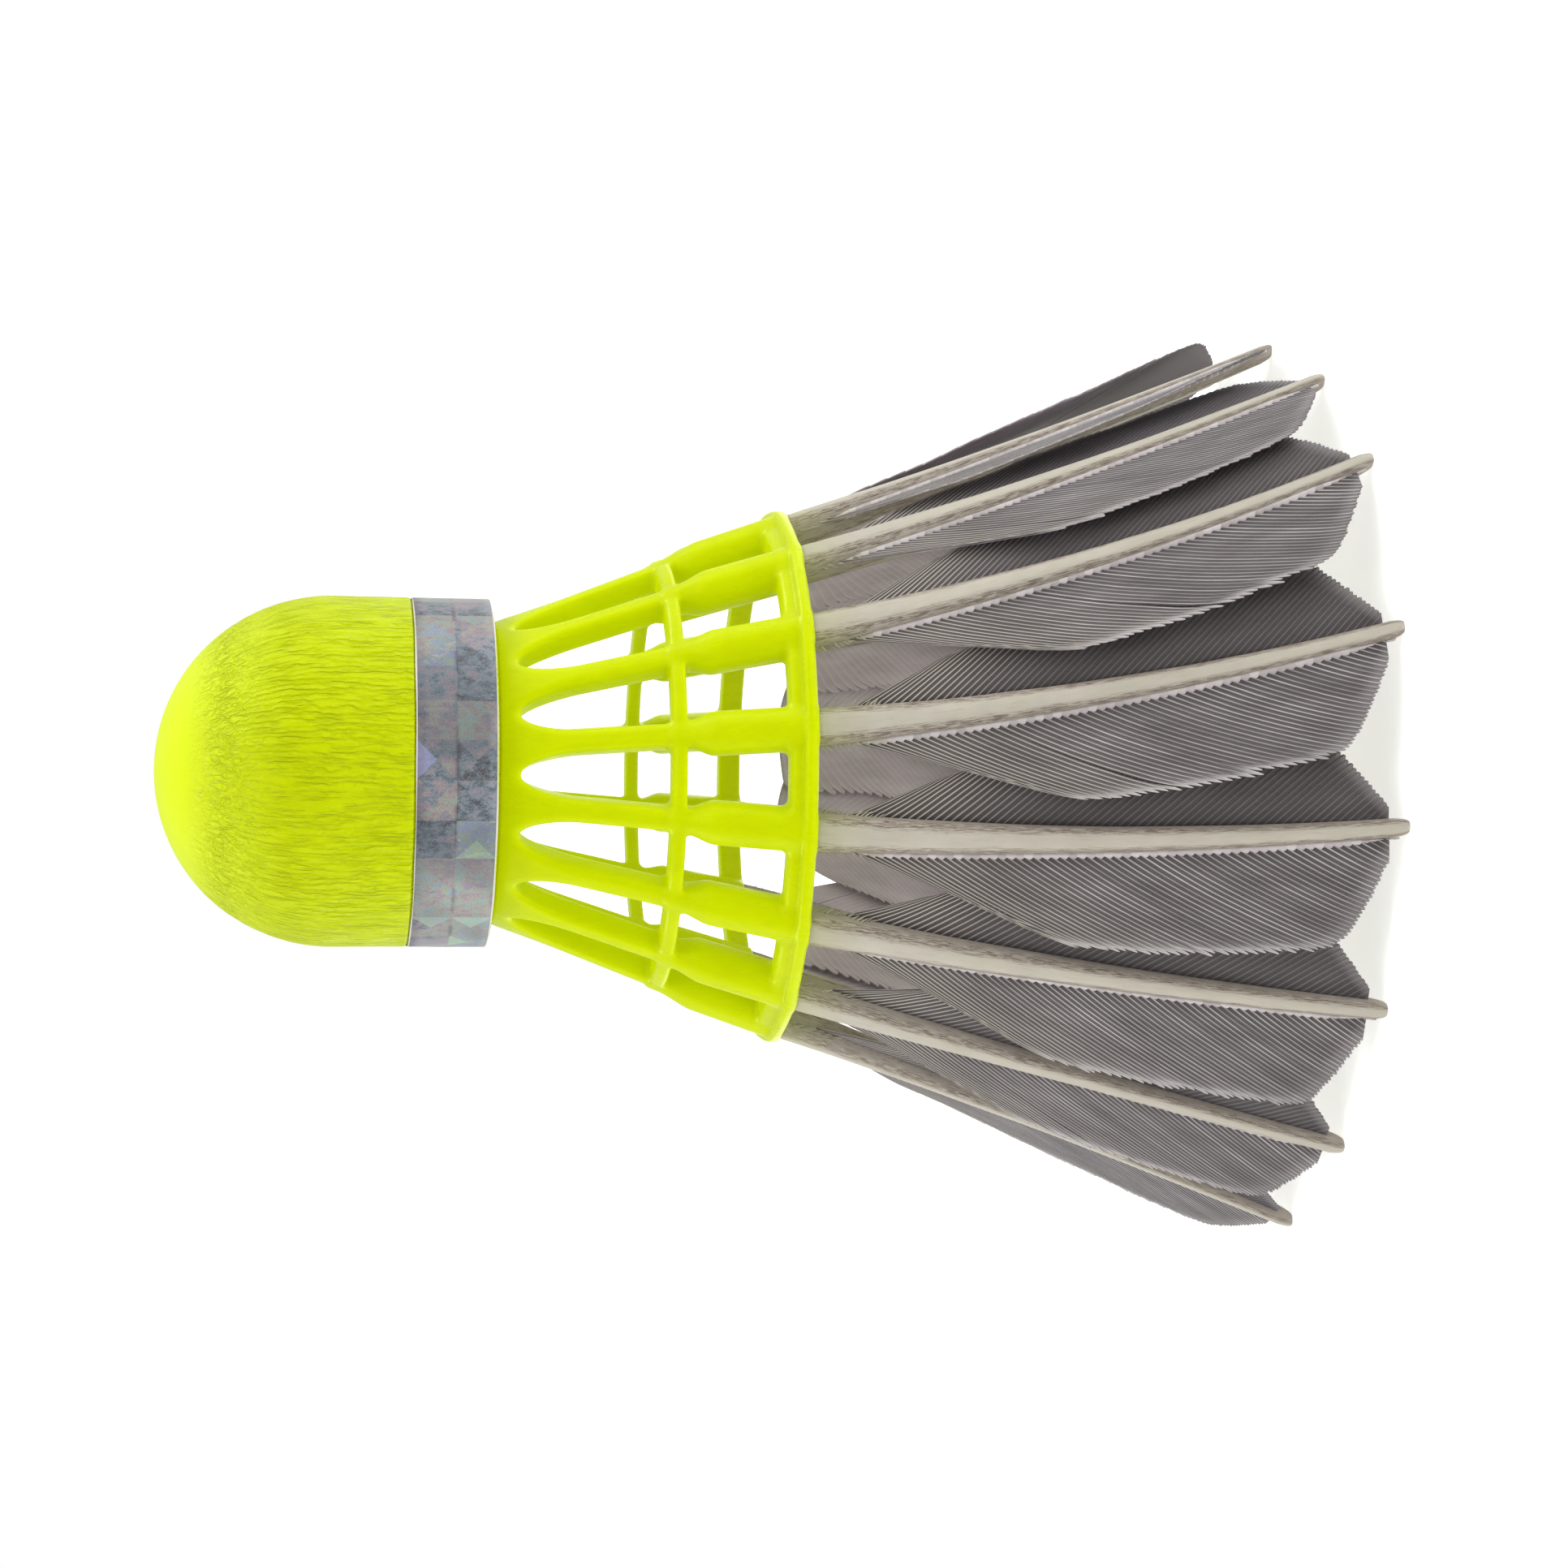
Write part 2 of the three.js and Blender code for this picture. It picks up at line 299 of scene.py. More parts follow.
def cover_leather():
    """A thin matt skin with fine creases that run away from the nose. The two maps together
    give a place on the skin: ring is a point on a circle round the axis, and run is how far
    along the skin it is from the nose."""
    look = Shader("cover_leather")
    ridges_round = 178.0
    ring_x, ring_y = look.split(look.uv("ring"))
    run, _ = look.split(look.uv("run"))
    skin = look.add("CombineXYZ", X=ring_x, Y=ring_y, Z=run)
    mottle = look.noise(skin, 0.45, 4.0, 0.6)
    grain = look.noise(skin, 9.0, 3.0, 0.65)

    angle = look.math("ARCTAN2", ring_x, ring_y)
    warp = look.noise(look.stretched(skin, 1, 1, 0.22), 0.95, 3.0, 0.6)
    wobble = look.noise(look.stretched(skin, 0.6, 0.6, 1), 1.1, 2.0, 0.5)
    phase = look.times(angle, ridges_round)
    phase = look.plus(phase, look.range(warp, 0.25, 0.75, 0.0, 9.0))
    phase = look.plus(phase, look.range(wobble, 0.25, 0.75, 0.0, 3.6))
    ridge = look.range(look.math("SINE", phase), -1.0, 1.0)
    strength = look.noise(look.stretched(skin, 1, 1, 0.3), 1.3, 2.0, 0.6)
    ridge = look.mix(look.range(strength, 0.36, 0.56, 0.3, 1.0), (188, 188, 188), ridge)
    pucker = look.noise(look.stretched(skin, 1, 1, 0.6), 1.9, 2.0, 0.55, 0.5)
    pucker = look.range(look.off_half(pucker), 0.0, 0.16)
    fold = look.mix(look.range(run, 12.0, 16.5), pucker, ridge)
    fold = look.mix(look.range(run, 8.0, 12.0), (220, 220, 220), fold)

    # The nose is painted lighter and the sides darker: partly the skin's own tones, partly painted
    # light on the nose and painted shade on the sides.
    nose = look.mix(mottle, (212, 230, 16), (220, 238, 26))
    sides = look.mix(mottle, (178, 193, 0), (190, 206, 0))
    body = look.mix(look.range(run, 7.0, 17.0), nose, sides)
    # Painted shade: darker in the creases, and in the hollows between the fine ridges and puckers.
    body = look.mix(look.times(look.attribute("crease"), 0.3), body, (158, 174, 0))
    hollow = look.range(fold, 0.42, 0.05)
    body = look.mix(look.times(hollow, 0.26), body, (136, 152, 0))
    look.set(
        Base_Color=body,
        Roughness=look.range(grain, 0.3, 0.7, 0.38, 0.5),
        Specular_IOR_Level=0.34,
        Specular_Tint=(0.85, 1.0, 0.12, 1.0),
        # A faint painted glow, standing in for the fluorescent yellow's brightness.
        Emission_Color=(0.55, 0.7, 0.0, 1.0),
        Emission_Strength=0.04,
        Normal=look.bump(grain, 0.25, 0.02, look.bump(fold, 1.0, 0.13)),
    )
    return look.material


def rim_foil(width):
    """Holographic film: two rows of square cells, each cut into four facets that take a pale
    colour of their own, under a fine mottle. The film's two cut edges are white. The film map
    gives a place along the strip and up from its lower edge, and width is the strip's."""
    look = Shader("rim_foil")
    cell_length = 2.9
    place = look.place()
    film = look.uv("film")
    cells = look.stretched(film, 1 / cell_length, 2 / width, 1)
    whole = look.vector_math("FLOOR", cells)
    across, up = look.split(look.vector_math("FRACTION", cells))
    rising = look.math("GREATER_THAN", across, up)
    falling = look.math("GREATER_THAN", look.plus(across, up), 1.0)
    facet = look.plus(rising, look.times(falling, 2.0))
    column, row = look.split(whole)
    key = look.add("CombineXYZ", X=column, Y=row, Z=facet)
    pick = look.add("TexWhiteNoise", Vector=key)
    patch = look.add("TexWhiteNoise", Vector=whole)
    shards = look.add("TexVoronoi", output="Color", Vector=place, Scale=0.8)
    shard = look.add("SeparateColor", output="Red", Color=shards)
    mottle = look.noise(look.stretched(place, 1, 1, 0.5), 2.2, 6.0, 0.75)
    blend = look.plus(look.times(pick, 0.22), look.times(patch, 0.34))
    blend = look.plus(blend, look.times(shard, 0.14))
    blend = look.plus(blend, look.range(mottle, 0.25, 0.75, -0.16, 0.46), clamp=True)
    hue = look.ramp(blend, [
        (0.1, (58, 54, 58)),
        (0.24, (82, 96, 108)),
        (0.36, (112, 126, 134)),
        (0.46, (138, 118, 130)),
        (0.56, (146, 138, 130)),
        (0.66, (130, 154, 136)),
        (0.78, (124, 128, 172)),
        (0.92, (176, 182, 128)),
    ])

    fine = look.noise(place, 9.0, 5.0, 0.75)
    hue = look.mix(look.range(fine, 0.42, 0.72, 0.0, 0.55), hue, (168, 166, 164))
    hue = look.mix(look.range(fine, 0.46, 0.3, 0.0, 0.45), hue, (84, 84, 88))
    seam = look.range(look.off_half(up), 0.42, 0.5)
    smudge = look.range(look.noise(place, 0.5, 3.0, 0.6), 0.45, 0.6)
    hue = look.mix(look.times(look.times(seam, smudge), 0.55), hue, (60, 56, 62))
    shade = look.range(look.noise(place, 0.11, 2.0, 0.5), 0.46, 0.56, 0.0, 0.4)
    hue = look.mix(shade, hue, (66, 72, 80))
    flash = look.mix(patch, (140, 140, 214), (166, 206, 140))
    hue = look.mix(look.range(pick, 0.95, 0.97, 0.0, 0.45), hue, flash)

    height = look.split(film)[1]
    from_edge = look.math("MINIMUM", height, look.math("SUBTRACT", width, height))
    trim = look.range(from_edge, 0.11, 0.07)
    look.set(
        Base_Color=look.mix(trim, hue, (204, 201, 192)),
        Metallic=look.times(look.math("SUBTRACT", 1.0, trim), 0.5),
        Roughness=look.range(blend, 0.2, 0.9, 0.28, 0.5),
        Normal=look.bump(fine, 0.3, 0.03),
    )
    return look.material


def basket_plastic():
    """Glossy moulded plastic that lets a little light through, faintly cloudy. Its glow is painted
    light that brightens its shaded far side and inside.
    """
    look = Shader("basket_plastic")
    place = look.place()
    cloud = look.noise(place, 0.25, 3.0, 0.5)
    flow = look.noise(look.stretched(place, 1, 1, 0.25), 1.6, 4.0, 0.6)
    skin = look.mix(cloud, (164, 178, 0), (182, 197, 0))
    skin = look.mix(look.range(flow, 0.45, 0.75, 0.0, 0.3), skin, (154, 166, 0))
    look.set(
        Base_Color=skin,
        Roughness=look.range(flow, 0.3, 0.7, 0.24, 0.38),
        Subsurface_Weight=0.5,
        Subsurface_Radius=(1.0, 1.0, 0.1),
        Subsurface_Scale=1.2 * MM,
        Specular_IOR_Level=0.35,
        Specular_Tint=(0.9, 1.0, 0.05, 1.0),
        # Painted glow: lights the basket's shaded far side and inside, standing in for its
        # fluorescence and the light that passes through it.
        Emission_Color=(0.55, 0.66, 0.0, 1.0),
        Emission_Strength=0.29,
        Normal=look.bump(flow, 0.2, 0.05),
    )
    return look.material


def cork_grain():
    """Pressed cork: tan grains with dark specks between them."""
    look = Shader("cork")
    place = look.place()
    cells = look.add("TexVoronoi", output="Distance", Vector=place, Scale=0.9)
    specks = look.noise(place, 1.4, 5.0, 0.65)
    body = look.mix(cells, (196, 152, 104), (164, 118, 74))
    look.set(
        Base_Color=look.mix(look.range(specks, 0.58, 0.7), body, (92, 58, 34)),
        Roughness=0.85,
        Normal=look.bump(specks, 0.6, 0.2),
    )
    return look.material


def quill_horn():
    """Horny quill: cream along its middle, browner along its sides, with fibres that run
    its whole length. The part nearest the basket has a faint painted yellow-green tint, for light
    bounced off the basket."""
    look = Shader("quill")
    along = look.uv("along")
    fibre = look.noise(look.stretched(along, 2.4, 0.09, 1), 5.0, 5.0, 0.7, 0.3)
    patch = look.noise(look.stretched(along, 0.3, 0.12, 1), 3.0, 3.0, 0.6)
    streak = look.noise(look.stretched(along, 3.0, 0.24, 1), 4.4, 4.0, 0.65, 0.6)
    middle = look.mix(patch, (170, 163, 148), (194, 189, 175))
    ragged = look.plus(look.attribute("side"), look.range(fibre, 0.3, 0.7, -0.2, 0.2))
    flank = look.mix(look.range(streak, 0.44, 0.56), (172, 164, 150), (106, 92, 80))
    # edge: the paler line at the very side of each flank is a painted highlight along the shaft's
    # edge.
    edge = look.mix(patch, (146, 136, 126), (176, 168, 156))
    flank = look.mix(look.range(ragged, 0.86, 0.98), flank, edge)
    body = look.mix(look.range(ragged, 0.4, 0.66), middle, flank)
    body = look.mix(look.range(fibre, 0.56, 0.7, 0.0, 0.35), body, (138, 126, 112))
    # Painted yellow-green light bounced off the basket, near the crown.
    body = look.mix(look.times(look.attribute("crown"), 0.3), body, (150, 158, 52))
    look.set(
        Base_Color=body,
        Roughness=look.range(fibre, 0.3, 0.7, 0.38, 0.6),
        Specular_IOR_Level=0.45,
        Subsurface_Weight=0.12,
        Subsurface_Radius=(1.0, 0.8, 0.6),
        Subsurface_Scale=0.4 * MM,
        Normal=look.bump(fibre, 0.5, 0.06),
    )
    return look.material


def feather_barbs(name, dark, pale, line, strength):
    """Barbs in the same order as the mesh's ridges: a thin pale crest on a dark brown-grey
    base, paler at the free tips and on the inside face, with painted shade that darkens the groove by
    the shaft.
    The crests are the barbs' paler colour with a painted highlight on it, and the inside face is
    partly painted light.
    dark and pale are the base's two tones, and line and strength are the crests' highlight colour and
    how strongly it shows."""
    look = Shader(name)
    barb = look.uv("barb")
    number, out = look.split(barb)
    tone = look.attribute("tone")
    wander = look.noise(look.stretched(barb, 0.35, 0.5, 1), 1.0, 3.0, 0.6)
    phase = look.plus(number, look.range(wander, 0.0, 1.0, -0.12, 0.12))
    off_crest = look.math("PINGPONG", look.plus(phase, 0.5), 0.5)
    crest = look.range(off_crest, 0.18, 0.07)
    barbule = look.noise(look.stretched(barb, 1.6, 9.0, 1), 2.0, 3.0, 0.6)
    cloud = look.noise(look.stretched(barb, 0.05, 0.22, 1), 2.0, 3.0, 0.55)
    cloudy = look.range(cloud, 0.3, 0.7)

    base = look.mix(cloudy, dark, pale)
    base = look.mix(look.range(barbule, 0.4, 0.75, 0.0, 0.3), base, (112, 105, 102))
    # Painted shade in the groove beside the shaft.
    base = look.mix(look.range(out, 1.1, 2.3, 0.5, 0.0), base, (46, 40, 40))
    near_crown = look.range(number, 6.0, 26.0, 1.0, 0.0)
    # The crests' colour: the barbs' own paler shafts, brightened as a painted highlight.
    light = look.mix(tone, (142, 136, 136), line)
    light = look.mix(near_crown, light, (192, 186, 170))
    shown = look.range(cloud, 0.3, 0.7, 0.45 * strength, strength)
    shown = look.math("MAXIMUM", shown, look.times(near_crown, 0.85))
    outer = look.mix(look.times(crest, shown), base, light)
    outer = look.mix(look.times(look.attribute("tip"), 0.85), outer, (206, 200, 198))

    # The inside face is painted much paler than the outside: partly the feather's own paler
    # underside, partly painted light for light shining through the thin vanes; it turns darker
    # towards the tips.
    inner = look.mix(cloudy, (176, 164, 172), (208, 196, 206))
    inner = look.mix(look.times(crest, 0.25), inner, (222, 214, 218))
    inner = look.mix(look.range(number, 14.0, 30.0), inner, (96, 88, 89))
    face = look.mix(look.attribute("inner"), outer, inner)

    cream = look.mix(tone, (166, 158, 156), (198, 191, 191))
    # Painted yellow-green light bounced off the basket, on the ledge near the crown.
    cream = look.mix(look.range(number, 5.0, 0.0, 0.0, 0.5), cream, (150, 156, 60))
    look.set(
        Base_Color=look.mix(look.attribute("ledge"), face, cream),
        Roughness=look.range(crest, 0.0, 1.0, 0.7, 0.42),
        Sheen_Weight=0.06,
        Sheen_Roughness=0.5,
        Sheen_Tint=(0.75, 0.82, 1.0, 1.0),
        Normal=look.bump(barbule, 0.4, 0.04),
    )
    return look.material


# ------ head: cover and band

COVER_EDGE = TAPE_HIGH[2] + 0.1  # the cover is thinner below this, under the band
COVER_WALL = 0.5
NOSE_CENTRE = HEAD_HIGH[2] - HEAD_HIGH[0]  # height of the middle of the round nose


def cover_profile():
    """The cover's section as (radius, height, share of wrinkling), from the nose down the
    outside and back up the inside, and how many of its points are outside. Its rim is turned
    in under the cork."""
    radius = HEAD_HIGH[0]
    under_band = radius - 0.2
    inside = radius - COVER_WALL
    rim = HEAD_LOW[2]
    fold = 0.3        # thickness of the edge that is turned in
    turned_in = 11.5  # the radius that it reaches

    angles = np.linspace(math.pi / 2, 0, 73)[1:]
    outer = [(radius * math.cos(a), NOSE_CENTRE + radius * math.sin(a), 1) for a in angles]
    outer += [(radius, z, 1) for z in np.linspace(NOSE_CENTRE, COVER_EDGE + 0.12, 20)[1:]]
    outer += [(radius - 0.05, COVER_EDGE + 0.03, 0.5), (under_band, COVER_EDGE, 0)]
    outer += [(under_band, z, 0) for z in np.linspace(COVER_EDGE - 0.2, rim + fold, 5)]

    angles = np.linspace(0, math.pi / 2, 5)[1:]
    inner = [(under_band - fold + fold * math.cos(a), rim + fold - fold * math.sin(a), 0)
             for a in angles]
    inner += [(turned_in + out, rim + up, 0) for out, up in
              [(0.5, 0), (0.12, 0), (0, 0.08), (0, fold - 0.08), (0.12, fold), (0.6, fold)]]
    inner += [(inside, rim + fold + 0.04, 0)]
    inner += [(inside, z, 0) for z in np.linspace(rim + 0.6, NOSE_CENTRE, 6)]
    inner += [(inside * math.cos(a), NOSE_CENTRE + inside * math.sin(a), 0)
              for a in np.linspace(0, math.pi / 2, 17)[1:-1]]
    return np.array(outer + inner), len(outer)


def head_cover(material):
    """A soft skin drawn over the nose: smooth at the top, a belt of short puckers on the
    shoulder, then long fine creases that run down under the band."""
    angle = circle(720)
    section, outside = cover_profile()
    points = round_axis(section[:, :1], angle, section[:, 1:2])
    run = np.concatenate([section[:1, 0], np.hypot(*np.diff(section[:, :2], axis=0).T)]).cumsum()
    skin = round_axis(HEAD_HIGH[0], angle, run[:, None])
    ring, run = skin[..., :2], skin[..., 2]

    outward = points[:outside] * [1, 1, 0]
    outward[..., 2] = np.maximum(points[:outside, :, 2] - NOSE_CENTRE, 0)
    outward /= np.linalg.norm(outward, axis=-1, keepdims=True)
    skin, down = skin[:outside], run[:outside]
    wrinkled = section[:outside, 2:]
    furrow = smoothstep(-0.1, 0.35, noise_at(skin * [1, 1, 0.2], 2.2, 1))
    pucker = smoothstep(-0.1, 0.35, noise_at(skin * [1, 1, 0.6], 2.0, 3))
    low = smoothstep(12.0, 16.5, down)
    patchy = 0.55 + 0.45 * smoothstep(-0.35, 0.3, noise_at(skin, 0.4, 6))
    belt = np.exp(-((down - 13) / 2.5) ** 2)
    share = smoothstep(8.0, 12.0, down) * (0.7 + 0.3 * belt) * wrinkled
    crease = (pucker * (1 - low) + furrow * low) * patchy * share
    swell = noise_at(skin, 0.3, 5) * smoothstep(3.0, 8.0, down) * wrinkled
    points[:outside] -= outward * (0.07 * crease - 0.03 * swell)[..., None]

    # crease also darkens the cover's colour in the creases, as painted shade.
    creases = np.zeros_like(run)
    creases[:outside] = crease
    runs = stacked(run, run)
    poles = [[0, 0, HEAD_HIGH[2]], [0, 0, HEAD_HIGH[2] - COVER_WALL]]
    make_piece("head_cover", *capped_loft(points, poles), material, "cover_leather",
               ["head_cover"], {
                   "crease": with_ends(creases, [0, 0]),
                   "ring": with_ends(ring, [[0, 0], [0, 0]]),
                   "run": with_ends(runs, [[0, 0], runs[-1, -1]]),
               })


def rim_tape(material):
    """A strip of film wound once round the rim. Its end laps over its start at the back."""
    low, high = TAPE_LOW[2], TAPE_HIGH[2]
    radius = TAPE_HIGH[0] + 0.01
    thickness = 0.12
    edge = 0.05  # how far in from the strip's edges they are rounded
    turns = 1.03
    share = np.linspace(0, 1, 420)[:, None]
    angle = math.pi * 0.93 + share * turns * 2 * math.pi
    lap = 0.1 * smoothstep(1 - 0.055, 1 - 0.03, share)
    heights = np.array([low, low, *np.linspace(low + edge, high - edge, 9), high, high,
                        *np.linspace(high - edge, low + edge, 3)])
    proud = np.array([0.05, 0.09, *[thickness] * 9, 0.09, 0.05, *[0.02] * 3])
    sway = 0.03 * np.sin(angle * 3) + 0.02 * np.sin(angle * 11 + 1)
    wave = 0.012 * np.sin(angle * 37) * np.cos(heights * 1.7)
    points = round_axis(radius - thickness + proud + lap + wave, angle, heights + sway)
    film = stacked(angle * radius, heights + sway - low)
    make_piece("rim_tape", *capped_loft(points), material, "rim_foil", ["rim_tape"],
               {"film": with_ends(film, film[[0, -1], 0])})


# ------ feather centre lines

def shaft_levels(node):
    """The heights of a shaft's level sections and the centre of each."""
    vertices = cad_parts[node].data.vertices
    points = np.empty(len(vertices) * 3)
    vertices.foreach_get("co", points)
    points = np.unique(np.round(points.reshape(-1, 3) / MM, 3), axis=0)
    heights = np.unique(points[:, 2])
    centres = [points[points[:, 2] == height][:, :2].mean(0) for height in heights]
    return heights, np.array(centres)


LEVELS, CENTRES = shaft_levels("shaft_01")
QUILL_TOP = LEVELS[-1]
FREE = LEVELS <= CROWN + 0.01
LINE_RADII = np.linalg.norm(CENTRES, axis=1)
LINE_ANGLES = np.arctan2(CENTRES[:, 0], -CENTRES[:, 1])
RADIUS_FIT = np.polyfit(LEVELS[FREE], LINE_RADII[FREE], 2)
TURN_FIT = np.polyfit(LEVELS[FREE], (LINE_ANGLES - LINE_ANGLES[-1])[FREE], 4)
CROWN_RADIUS = np.polyval(RADIUS_FIT, CROWN)
SOCKET_SLOPE = (LINE_RADII[-1] - CROWN_RADIUS) / (QUILL_TOP - CROWN)


# How far each feather's tip stands off the even pattern: degrees round, mm outwards.
LEANS = [0.3, 0.8, -0.2, -0.1, 0.0, -0.5, 0.2, -0.4, 0.3, -0.5, 0.1, -0.3, -0.3, -0.3, 0.0, -0.1]
SPREADS = [0.3, 0.5, -0.7, -0.5, 0.9, -0.3, 0.2, 0.3, -0.2, 0.1, -0.3, 0.2, 0.4, -0.2, 0.0, 0.2]
# How full the vanes are next to the crown between each feather and the next one round, from
# bare stubs to closed.
FULLNESS = [0, 0, 0.4, 0.9, 1, 1, 1, 1, 0.2, 1, 0.1, 0.3, 0, 0, 0, 0]


class Feather:
    """One feather's place, and how it stands a little off the even pattern. lean turns its
    tip about the axis, in degrees, and spread moves its tip outwards, in mm."""

    def __init__(self, number, lean, spread):
        self.number = number
        _, centres = shaft_levels(f"shaft_{number:02d}")
        self.azimuth = math.atan2(centres[-1][0], -centres[-1][1])
        self.lean = math.radians(lean)
        self.spread = spread
        self.fullness = {1: FULLNESS[number - 1], -1: FULLNESS[number - 2]}
        self.random = np.random.default_rng(number)

    def place(self, height, across, outwards):
        """A point beside the shaft: across it, the way the tips lead, and outwards."""
        free = np.clip(1 - height / CROWN, 0, None)
        socket = CROWN_RADIUS + SOCKET_SLOPE * (height - CROWN)
        radius = np.where(height > CROWN, socket, np.polyval(RADIUS_FIT, height))
        radius = radius + self.spread * free ** 2
        turn = np.where(height > CROWN, 0, np.polyval(TURN_FIT, np.minimum(height, CROWN)))
        angle = self.azimuth + turn + self.lean * free ** 2 + across / radius
        return round_axis(radius + outwards, angle, height)


# ------ basket

SLOPE = 0.4  # growth of the basket's outside radius for each mm down
LEAN = math.cos(math.atan(SLOPE))
WALL = 1.95  # thickness
TOP = CROWN + 21.6  # the collar's face, under the cork
COLLAR = 11.2  # outside radius there
BEAD_RADIUS, BEAD_HALF = 19.38, 0.44  # radius of its middle, and half its height
# Heights above the crown.
LOWER_SILL, LOWER_LINTEL = 1.8, 8.7
UPPER_SILL, ARCH_SPRING, ARCH_RISE = 9.75, 15.7, 4.4
SOCKET_HEIGHT = 9.8


def round_cut(first, second, fillet):
    """The distance to what two solids share, with the edge between them rounded off."""
    both = np.hypot(np.maximum(first + fillet, 0), np.maximum(second + fillet, 0))
    return np.minimum(np.maximum(first, second), -fillet) + both


def round_cuts(solid, *cuts):
    """A solid cut by each (distance, fillet) in turn."""
    for other, fillet in cuts:
        solid = round_cut(solid, other, fillet)
    return solid


def round_join(first, second, fillet):
    """The distance to two solids together, with a hollow fillet between them."""
    return -round_cut(-first, -second, fillet)


def flat_box(x, y, half_x, half_y, corner):
    """The distance to a rectangle with round corners, from its middle."""
    dx = np.abs(x) - half_x + corner
    dy = np.abs(y) - half_y + corner
    return np.hypot(np.maximum(dx, 0), np.maximum(dy, 0)) + np.minimum(np.maximum(dx, dy), 0) - corner


def basket_distance(angle, radius, height):
    """Distance from a point to one sector of the basket, which is centred on a strut. The
    struts are ridges, broader inside than out, and each swells into a round socket."""
    x = radius * np.sin(angle)
    y = radius * np.cos(angle)
    up = height - CROWN

    cone = COLLAR + SLOPE * (TOP - height)
    sunk = 0.16 * (1 - smoothstep(LOWER_SILL, LOWER_SILL + 0.4, up))
    shell = np.maximum((radius - cone + sunk) * LEAN, (cone - WALL - radius) * LEAN)

    depth = np.clip((cone - radius) / 1.1, 0, 1)
    half_strut = 0.5 + 0.38 * np.sqrt(1 - (1 - depth) ** 2)
    beside = half_strut - np.abs(angle) * radius  # into the window from the strut's side
    half = PITCH / 2 * radius - half_strut
    arch = np.hypot((half + beside) / half, np.maximum(up - ARCH_SPRING, 0) / ARCH_RISE)
    upper = round_cut((arch - 1) * half, UPPER_SILL - up, 0.45)
    lower = round_cuts(beside, (LOWER_SILL - up, 0.45), (up - LOWER_LINTEL, 0.45))
    shell = round_cuts(shell, (height - TOP, 0.15), (-up, 0.15), (-upper, 0.35), (-lower, 0.35))

    taper = smoothstep(6.6, 9.5, up)
    half_width = 1.6 - 1.03 * taper
    half_depth = 1.68 - 1.08 * taper
    centre = CROWN_RADIUS + SOCKET_SLOPE * up
    ring = np.hypot(x / half_width, (y - centre - 0.4 * taper) / half_depth)
    socket = (ring - 1) * half_width * LEAN
    socket = round_cuts(socket, (up - SOCKET_HEIGHT, 0.3), (-up, 0.2))

    bulge = 0.05 * np.cos(angle * FEATHERS)
    bead = flat_box(radius - BEAD_RADIUS - bulge, up - BEAD_HALF, 0.7, BEAD_HALF, 0.38)
    solid = round_join(round_join(shell, socket, 0.45), bead, 0.18)
    bore = 1.26 - 0.26 * up / (QUILL_TOP - CROWN)
    hole = (np.hypot(x / bore, (y - centre) / bore) - 1) * bore * LEAN
    hole = round_cut(hole, height - QUILL_TOP - 0.4, 0.2)
    return round_cut(solid, -hole, 0.1)


def edge_ends(grid, axis):
    """A grid's values at the two ends of each of its edges along one axis."""
    start = np.arange(grid.shape[axis] - 1)
    return np.take(grid, start, axis), np.take(grid, start + 1, axis)


def sector_surface(distance, *axes):
    """A surface net: the mesh where a distance is zero in one sector of a ring, on a grid of
    angles, radii and heights. Returns points as (angle, radius, height), and quads whose
    corners are (sector shift, point)."""
    solid = distance(*np.meshgrid(*axes, indexing="ij"))
    cells = tuple(n - 1 for n in solid.shape)
    crossings = np.zeros((*cells, 3))
    counts = np.zeros(cells)
    sides = [[1, 2], [0, 2], [0, 1]]  # the two axes across each
    for axis, others in enumerate(sides):
        first, second = edge_ends(solid, axis)
        crossed = (first < 0) != (second < 0)
        share = np.where(crossed, first / np.where(crossed, first - second, 1), 0)
        for step in np.ndindex(2, 2):
            take = [slice(None)] * 3
            for other, offset in zip(others, step):
                take[other] = slice(offset, offset + cells[other])
            hit = crossed[tuple(take)]
            counts += hit
            crossings[..., axis] += share[tuple(take)]
            for other, offset in zip(others, step):
                crossings[..., other] += hit * offset
    used = counts > 0
    number = np.full(cells, -1)
    number[used] = np.arange(used.sum())
    places = np.argwhere(used) + crossings[used] / counts[used][:, None]
    points = np.stack([np.interp(places[:, k], np.arange(len(axes[k])), axes[k])
                       for k in range(3)], -1)
    quads = []
    for axis, others in enumerate(sides):
        first, second = edge_ends(solid < 0, axis)
        where = np.argwhere(first != second)
        where = where[where[:, 0] < cells[0]]  # the last angle is the next sector's first
        ring = []
        for back in [(1, 1), (0, 1), (0, 0), (1, 0)]:
            cell = where.copy()
            cell[:, others] -= back
            shift = np.where(cell[:, 0] < 0, -1, 0)
            cell[:, 0] %= cells[0]
            ring.append(np.stack([shift, number[tuple(cell.T)]], -1))
        ring = np.stack(ring, 1)
        turned = first[tuple(where.T)] == (axis == 1)
        ring[turned] = ring[turned][:, ::-1]
        quads.append(ring)
    return points, np.concatenate(quads)


def settle(distance, points, most):
    """Moves points given as (angle, radius, height) onto the surface where a distance is
    zero, no further than most at a step."""
    step = 0.01
    for _ in range(4):
        per_mm = np.ones_like(points)
        per_mm[:, 0] /= points[:, 1]
        slope = [distance(*(points + step * per_mm * axis).T)
                 - distance(*(points - step * per_mm * axis).T) for axis in np.eye(3)]
        slope = np.stack(slope, -1) / (2 * step)
        steepness = np.maximum((slope ** 2).sum(-1), 0.05)
        move = -(distance(*points.T) / steepness)[:, None] * slope
        length = np.linalg.norm(move, axis=1, keepdims=True)
        points = points + move * np.minimum(1, most / np.maximum(length, 1e-9)) * per_mm
    return points


